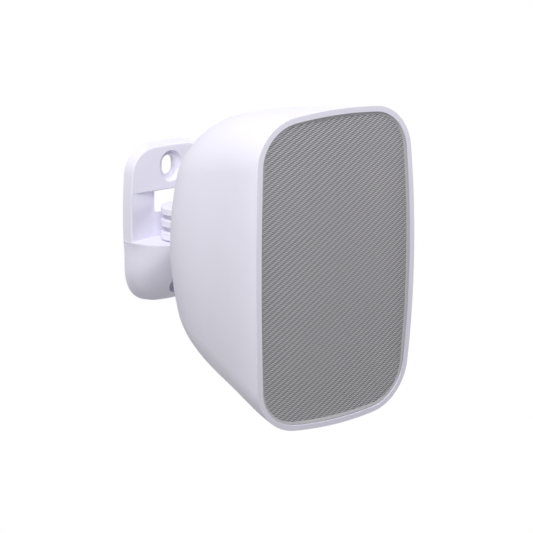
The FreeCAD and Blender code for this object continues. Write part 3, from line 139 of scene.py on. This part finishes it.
class Shading:
    """A node material under construction: one principled shader and what feeds it."""

    def __init__(self, name):
        self.material = bpy.data.materials.new(name)
        self.material.use_nodes = True
        self.nodes = self.material.node_tree.nodes
        self.links = self.material.node_tree.links
        self.shader = self.nodes["Principled BSDF"]
        self.place = self.nodes.new("ShaderNodeTexCoord").outputs["Object"]

    def noise(self, scale, detail=3):
        texture = self.nodes.new("ShaderNodeTexNoise")
        texture.inputs["Scale"].default_value = scale
        texture.inputs["Detail"].default_value = detail
        texture.inputs["Roughness"].default_value = 0.55
        self.links.new(self.place, texture.inputs["Vector"])
        return texture.outputs["Fac"]

    def spread(self, source, low, high):
        """The middle range of a noise as values between low and high."""
        node = self.nodes.new("ShaderNodeMapRange")
        node.inputs["From Min"].default_value = NOISE_LOW
        node.inputs["From Max"].default_value = NOISE_HIGH
        node.inputs["To Min"].default_value = low
        node.inputs["To Max"].default_value = high
        self.links.new(source, node.inputs["Value"])
        return node.outputs["Result"]

    def ramp(self, source, *stops):
        """The source as a colour between stops, each a position and a colour."""
        node = self.nodes.new("ShaderNodeValToRGB")
        elements = node.color_ramp.elements
        while len(elements) < len(stops):
            elements.new(0.5)
        for element, (position, colour) in zip(elements, stops):
            element.position = position
            element.color = colour
        self.links.new(source, node.inputs["Fac"])
        return node.outputs["Color"]

    def bump(self, source, depth):
        node = self.nodes.new("ShaderNodeBump")
        node.inputs["Strength"].default_value = 1
        node.inputs["Distance"].default_value = depth
        self.links.new(source, node.inputs["Height"])
        self.links.new(node.outputs["Normal"], self.shader.inputs["Normal"])

    def feed(self, source, socket):
        self.links.new(source, self.shader.inputs[socket])

    def fix(self, socket, level):
        self.shader.inputs[socket].default_value = level


def toned(colour, factor):
    return (*(channel * factor for channel in colour[:3]), 1)


def moulded(
    name, colour, roughness, grain_size, grain_depth, variation, metallic=0.0, gloss=0.5
):
    """Plastic, rubber, paint or metal: slight drift of tone, uneven sheen and a fine grain in mm."""
    shading = Shading(name)
    drift = shading.noise(DRIFT_SCALE, detail=4)
    darker, lighter = toned(colour, 1 - variation), toned(colour, 1 + variation)
    shading.feed(shading.ramp(drift, (NOISE_LOW, darker), (NOISE_HIGH, lighter)), "Base Color")
    sheen = shading.noise(SHEEN_SCALE, detail=5)
    rougher = shading.spread(sheen, roughness - SHEEN_SPREAD, roughness + SHEEN_SPREAD)
    shading.feed(rougher, "Roughness")
    shading.bump(shading.noise(1 / (grain_size * MM), detail=2), grain_depth * MM)
    shading.fix("Metallic", metallic)
    shading.fix("Specular IOR Level", gloss)
    return shading.material


def woven_grille():
    """Grey mesh: the relief's valleys are darker than its ridges, partly for the dark gaps between
    threads and partly as painted shade in the valleys.
    """
    shading = Shading("grille_mesh")
    relief = shading.nodes.new("ShaderNodeAttribute")
    relief.attribute_name = "relief"
    # The valley tone is partly the gaps' own dark and partly painted shade in the deepest parts of
    # the weave.
    valley, middle, ridge = srgb(70, 69, 73), srgb(160, 159, 163), srgb(226, 225, 229)
    tone = shading.ramp(relief.outputs["Fac"], (0.15, valley), (0.5, middle), (0.85, ridge))
    shading.feed(tone, "Base Color")
    shading.feed(shading.spread(shading.noise(FIBRE_SCALE), 0.55, 0.7), "Roughness")
    shading.bump(shading.noise(FUZZ_SCALE, detail=2), FUZZ_DEPTH)
    return shading.material


METAL = 1.0
FINISHES = {
    # slot: colour, roughness, grain size, grain depth, variation of tone, metallic, gloss
    "white_plastic": (srgb(239, 237, 250), 0.5, 0.45, 0.01, 0.012, 0.0, 0.3),
    "arm_plastic": (srgb(232, 230, 238), 0.42, 0.45, 0.012, 0.015),
    "dark_cloth": (srgb(28, 28, 30), 0.9, 0.35, 0.08, 0.2),
    "baffle_board": (srgb(36, 36, 38), 0.6, 0.6, 0.03, 0.1),
    "foam": (srgb(40, 40, 42), 0.95, 0.8, 0.12, 0.2),
    "steel": (srgb(190, 190, 194), 0.32, 0.25, 0.004, 0.06, METAL),
    "basket_metal": (srgb(44, 44, 47), 0.5, 0.5, 0.02, 0.08),
    "cone_paper": (srgb(46, 45, 44), 0.85, 0.7, 0.06, 0.15),
    "surround_rubber": (srgb(30, 30, 31), 0.55, 0.5, 0.015, 0.08),
    "copper": (srgb(196, 112, 66), 0.35, 0.3, 0.03, 0.12, METAL),
    "ferrite": (srgb(62, 62, 65), 0.7, 0.5, 0.03, 0.12),
    "black_plastic": (srgb(34, 34, 36), 0.5, 0.4, 0.015, 0.08),
    "dome_metal": (srgb(200, 200, 205), 0.3, 0.6, 0.004, 0.04, METAL),
    "board_green": (srgb(38, 96, 62), 0.45, 0.9, 0.01, 0.12),
    "capacitor_film": (srgb(44, 58, 104), 0.3, 0.8, 0.006, 0.06),
    "ceramic": (srgb(214, 212, 204), 0.8, 0.5, 0.03, 0.05),
    "red_plastic": (srgb(176, 30, 34), 0.35, 0.5, 0.01, 0.05),
}
MATERIALS = {slot: moulded(slot, *finish) for slot, finish in FINISHES.items()}
MATERIALS["grille_grey"] = woven_grille()
for subpart in frame["record"]["subparts"]:
    slots = nodes[subpart["node"]].data.materials
    slots.clear()
    slots.append(MATERIALS[subpart["material_slot"]])


# Grille: a domed sheet with the relief of its weave, and the smooth lip round it
low, high = (Vector(corner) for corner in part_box("grille"))
GRILLE_HALF_WIDTH = (high.x - low.x) / 2 + LIP_GROWTH
GRILLE_HALF_HEIGHT = (high.z - low.z) / 2 + LIP_GROWTH


def corner_centre():
    """Centre of the round corner that runs into the bowed side and the bowed top."""
    side_x = GRILLE_HALF_WIDTH - GRILLE_SIDE_RADIUS
    top_z = GRILLE_HALF_HEIGHT - GRILLE_TOP_RADIUS
    reach = GRILLE_SIDE_RADIUS - GRILLE_CORNER_RADIUS
    other = GRILLE_TOP_RADIUS - GRILLE_CORNER_RADIUS
    span = math.hypot(side_x, top_z)
    along = (span**2 + reach**2 - other**2) / (2 * span)
    aside = math.sqrt(reach**2 - along**2)
    ahead_x, ahead_z = -side_x / span, top_z / span
    return side_x + ahead_x * along - ahead_z * aside, ahead_z * along + ahead_x * aside


def outline_distance(x, z):
    """How far a point lies outside the grille's outline of bowed sides and round corners."""
    x, z = np.abs(x), np.abs(z)
    side_x = GRILLE_HALF_WIDTH - GRILLE_SIDE_RADIUS
    top_z = GRILLE_HALF_HEIGHT - GRILLE_TOP_RADIUS
    centre_x, centre_z = corner_centre()
    to_side = np.hypot(x - side_x, z) - GRILLE_SIDE_RADIUS
    to_top = np.hypot(x, z - top_z) - GRILLE_TOP_RADIUS
    to_corner = np.hypot(x - centre_x, z - centre_z) - GRILLE_CORNER_RADIUS
    past_side = z * (centre_x - side_x) > centre_z * (x - side_x)
    past_top = x * (centre_z - top_z) > centre_x * (z - top_z)
    return np.where(past_side & past_top, to_corner, np.maximum(to_side, to_top))


def moved(x, z, distance):
    """The points, moved square to the outline by a distance, outwards where it is positive."""
    tiny = 0.01 * MM
    slope_x = (outline_distance(x + tiny, z) - outline_distance(x - tiny, z)) / (2 * tiny)
    slope_z = (outline_distance(x, z + tiny) - outline_distance(x, z - tiny)) / (2 * tiny)
    return x + distance * slope_x, z + distance * slope_z


def rim_depth(x, z):
    """Depth of the rim's dome behind the front's middle."""
    bulge = DOME_SIDE_RADIUS - np.sqrt(DOME_SIDE_RADIUS**2 - z**2)
    return DOME_PLAN_RADIUS - np.sqrt((DOME_PLAN_RADIUS - bulge) ** 2 - x**2)


def sheet_depth(x, z):
    """The same for the woven sheet, which bulges less than the rim round it."""
    return SHEET_RECESS + SHEET_BULGE * rim_depth(x, z)


def wave(x, z, pitch, slope):
    """Waves from 0 to 1 whose crests rise to the right by a slope."""
    return 0.5 + 0.5 * np.cos(2 * np.pi * (z * math.cos(slope) - x * math.sin(slope)) / pitch)


def weave_relief(x, z):
    """Fine threads that cross each other, and the slanting wale that they form, from 0 to 1."""
    threads = wave(x, z, THREAD_PITCH, THREAD_SLOPE) + wave(x, z, THREAD_PITCH, -THREAD_SLOPE)
    wale = wave(x, z, WALE_PITCH, WALE_SLOPE)
    return WALE_SHARE * wale + (1 - WALE_SHARE) * threads / 2


def sheet_back(points, faces):
    """Points and faces that close the sheet behind: a wall from its edge, a cone to its middle."""
    edges = {
        (int(start), int(end)) for face in faces for start, end in zip(face, np.roll(face, -1))
    }
    border = [(start, end) for start, end in sorted(edges) if (end, start) not in edges]
    starts = [start for start, _ in border]
    behind = {start: len(points) + place for place, start in enumerate(starts)}
    middle = len(points) + len(starts)
    walls = [[end, start, behind[start], behind[end]] for start, end in border]
    cone = [[behind[end], behind[start], middle] for start, end in border]
    set_back = points[starts] + (0, SHEET_EDGE, 0)
    return np.concatenate((set_back, [(0, SHEET_RECESS + SHEET_BACK, 0)])), walls + cone


def sheet_part():
    """Points, faces and relief of the woven sheet, which ends under the lip."""
    columns = int(GRILLE_HALF_WIDTH / GRID_ACROSS) + 2
    rows = int(GRILLE_HALF_HEIGHT / GRID_UP) + 2
    across = np.arange(-columns, columns + 1) * GRID_ACROSS
    up = np.arange(-rows, rows + 1) * GRID_UP
    x, z = np.meshgrid(across, up)
    inside = outline_distance(x, z) <= -LIP_WALL
    for _ in range(SHEET_PASSES):
        x, z = moved(x, z, -np.maximum(outline_distance(x, z) + LIP_WALL, 0))
    relief = weave_relief(x, z)
    depth = sheet_depth(x, z) + WEAVE_HEIGHT * (1 - relief)
    index = np.arange(x.size).reshape(x.shape)
    corners = (index[:-1, :-1], index[:-1, 1:], index[1:, 1:], index[1:, :-1])
    cells = np.stack(corners, axis=-1).reshape(-1, 4)
    used, faces = np.unique(cells[inside.reshape(-1)[cells].any(axis=1)], return_inverse=True)
    faces = faces.reshape(-1, 4)
    points = np.stack((x, depth, z), axis=-1).reshape(-1, 3)[used]
    return points, faces, relief.reshape(-1)[used]


def lip_part():
    """The same for the lip: a section, from the sheet to the back, carried round the outline."""
    turn = np.linspace(0, 2 * math.pi, OUTLINE_SAMPLES)
    x, z = GRILLE_HALF_WIDTH * np.cos(turn), GRILLE_HALF_HEIGHT * np.sin(turn)
    for _ in range(OUTLINE_PASSES):
        x, z = moved(x, z, -outline_distance(x, z))
    length = np.concatenate(([0], np.cumsum(np.hypot(np.diff(x), np.diff(z)))))
    even = np.linspace(0, length[-1], int(length[-1] / LIP_STEP), endpoint=False)
    x, z = np.interp(even, length, x), np.interp(even, length, z)
    section = [
        (LIP_WALL + LIP_OVERLAP, sheet_depth, WEAVE_HEIGHT),
        (LIP_WALL, sheet_depth, -LIP_FOOT),
        (2 * LIP_ROUND, rim_depth, LIP_RECESS + LIP_ROUND / 2),
        (LIP_ROUND, rim_depth, LIP_RECESS),
        (0, rim_depth, LIP_RECESS + LIP_ROUND),
        (0, rim_depth, LIP_BACK),
        (LIP_WALL + LIP_OVERLAP, rim_depth, LIP_BACK),
    ]
    rings = []
    for inset, surface, recess in section:
        ring_x, ring_z = moved(x, z, -inset)
        rings.append(np.stack((ring_x, surface(ring_x, ring_z) + recess, ring_z), axis=-1))
    count = len(x)
    index = np.arange(count * len(section)).reshape(len(section), count)
    ahead, outward = np.roll(index, -1, axis=1), np.roll(index, -1, axis=0)
    corners = (index, outward, np.roll(outward, -1, axis=1), ahead)
    faces = np.stack(corners, axis=-1).reshape(-1, 4)
    return np.concatenate(rings), faces, np.full(index.size, LIP_TONE)


def grille_mesh():
    points, faces, relief = sheet_part()
    back_points, back_faces = sheet_back(points, faces)
    lip_points, lip_faces, lip_relief = lip_part()
    places = np.concatenate((points, back_points, lip_points)) + np.array(FRONT_APEX)
    lip_faces += len(points) + len(back_points)
    mesh = bpy.data.meshes.new("grille_weave")
    mesh.from_pydata(places.tolist(), [], faces.tolist() + lip_faces.tolist() + back_faces)
    # The back stays flat, so that the weave keeps its own shading up to its edge
    smooth = np.arange(len(mesh.polygons)) < len(faces) + len(lip_faces)
    mesh.polygons.foreach_set("use_smooth", smooth)
    attribute = mesh.attributes.new("relief", "FLOAT", "POINT")
    relief = np.concatenate((relief, np.zeros(len(back_points)), lip_relief))
    attribute.data.foreach_set("value", relief.astype(np.float32))
    return mesh


grille = bpy.data.objects.new("grille_weave", grille_mesh())
bpy.context.scene.collection.objects.link(grille)
grille.data.materials.append(MATERIALS["grille_grey"])
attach(grille, "speaker")
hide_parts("grille")


# Stage: a pale floor and an even surround, both white to the camera, and soft lamps


def shown_white(tree, lit, *ray_kinds):
    """A shader that is plain white to these kinds of ray and the lit shader to all others."""
    white = tree.nodes.new("ShaderNodeEmission")
    white.inputs["Color"].default_value = (1, 1, 1, 1)
    path = tree.nodes.new("ShaderNodeLightPath")
    mix = tree.nodes.new("ShaderNodeMixShader")
    share = path.outputs[ray_kinds[0]]
    for kind in ray_kinds[1:]:
        either = tree.nodes.new("ShaderNodeMath")
        either.operation = "MAXIMUM"
        tree.links.new(share, either.inputs[0])
        tree.links.new(path.outputs[kind], either.inputs[1])
        share = either.outputs["Value"]
    tree.links.new(share, mix.inputs["Fac"])
    tree.links.new(lit, mix.inputs[1])
    tree.links.new(white.outputs["Emission"], mix.inputs[2])
    return mix.outputs["Shader"]


def surround(strength):
    world = bpy.data.worlds.new("surround")
    bpy.context.scene.world = world
    world.use_nodes = True
    tree = world.node_tree
    light = tree.nodes["Background"]
    light.inputs["Color"].default_value = (1, 1, 1, 1)
    light.inputs["Strength"].default_value = strength
    shader = shown_white(tree, light.outputs["Background"], *BACKGROUND_RAYS)
    tree.links.new(shader, tree.nodes["World Output"].inputs["Surface"])


def pale_floor(level, size):
    half = size / 2
    mesh = bpy.data.meshes.new("floor")
    corners = [(-half, -half), (half, -half), (half, half), (-half, half)]
    mesh.from_pydata([(x, y, level) for x, y in corners], [], [(0, 1, 2, 3)])
    floor = bpy.data.objects.new("floor", mesh)
    bpy.context.scene.collection.objects.link(floor)
    shading = Shading("pale_floor")
    drift = shading.noise(FLOOR_DRIFT_SCALE)
    darker, lighter = srgb(228, 228, 228), srgb(234, 234, 234)
    shading.feed(shading.ramp(drift, (NOISE_LOW, darker), (NOISE_HIGH, lighter)), "Base Color")
    shading.fix("Roughness", FLOOR_ROUGHNESS)
    tree = shading.material.node_tree
    shader = shown_white(tree, shading.shader.outputs["BSDF"], *BACKGROUND_RAYS)
    tree.links.new(shader, tree.nodes["Material Output"].inputs["Surface"])
    mesh.materials.append(shading.material)


def soft_lamp(name, azimuth, elevation, distance, size, power, colour):
    """A round lamp turned to the speaker; azimuth from +X towards +Y, in degrees."""
    turn, rise = math.radians(azimuth), math.radians(elevation)
    level = math.cos(rise)
    away = Vector((level * math.cos(turn), level * math.sin(turn), math.sin(rise)))
    data = bpy.data.lights.new(name, "AREA")
    data.shape = "DISK"
    data.size = size
    data.energy = power
    data.color = colour
    lamp = bpy.data.objects.new(name, data)
    lamp.location = LAMP_AIM + distance * away
    lamp.rotation_euler = away.to_track_quat("Z", "Y").to_euler()
    bpy.context.scene.collection.objects.link(lamp)


pale_floor(FLOOR_LEVEL, FLOOR_SIZE)
surround(SURROUND_STRENGTH)
for lamp_row in LAMPS:
    soft_lamp(*lamp_row)

# Camera
camera_data = bpy.data.cameras.new("camera")
camera_data.lens = LENS_MM
camera_data.sensor_width = SENSOR_MM
camera = bpy.data.objects.new("camera", camera_data)
camera.location = CAMERA_PLACE
camera.rotation_euler = (CAMERA_AIM - CAMERA_PLACE).to_track_quat("-Z", "Y").to_euler()
bpy.context.scene.collection.objects.link(camera)
bpy.context.scene.camera = camera
bpy.context.scene.view_settings.view_transform = "Standard"
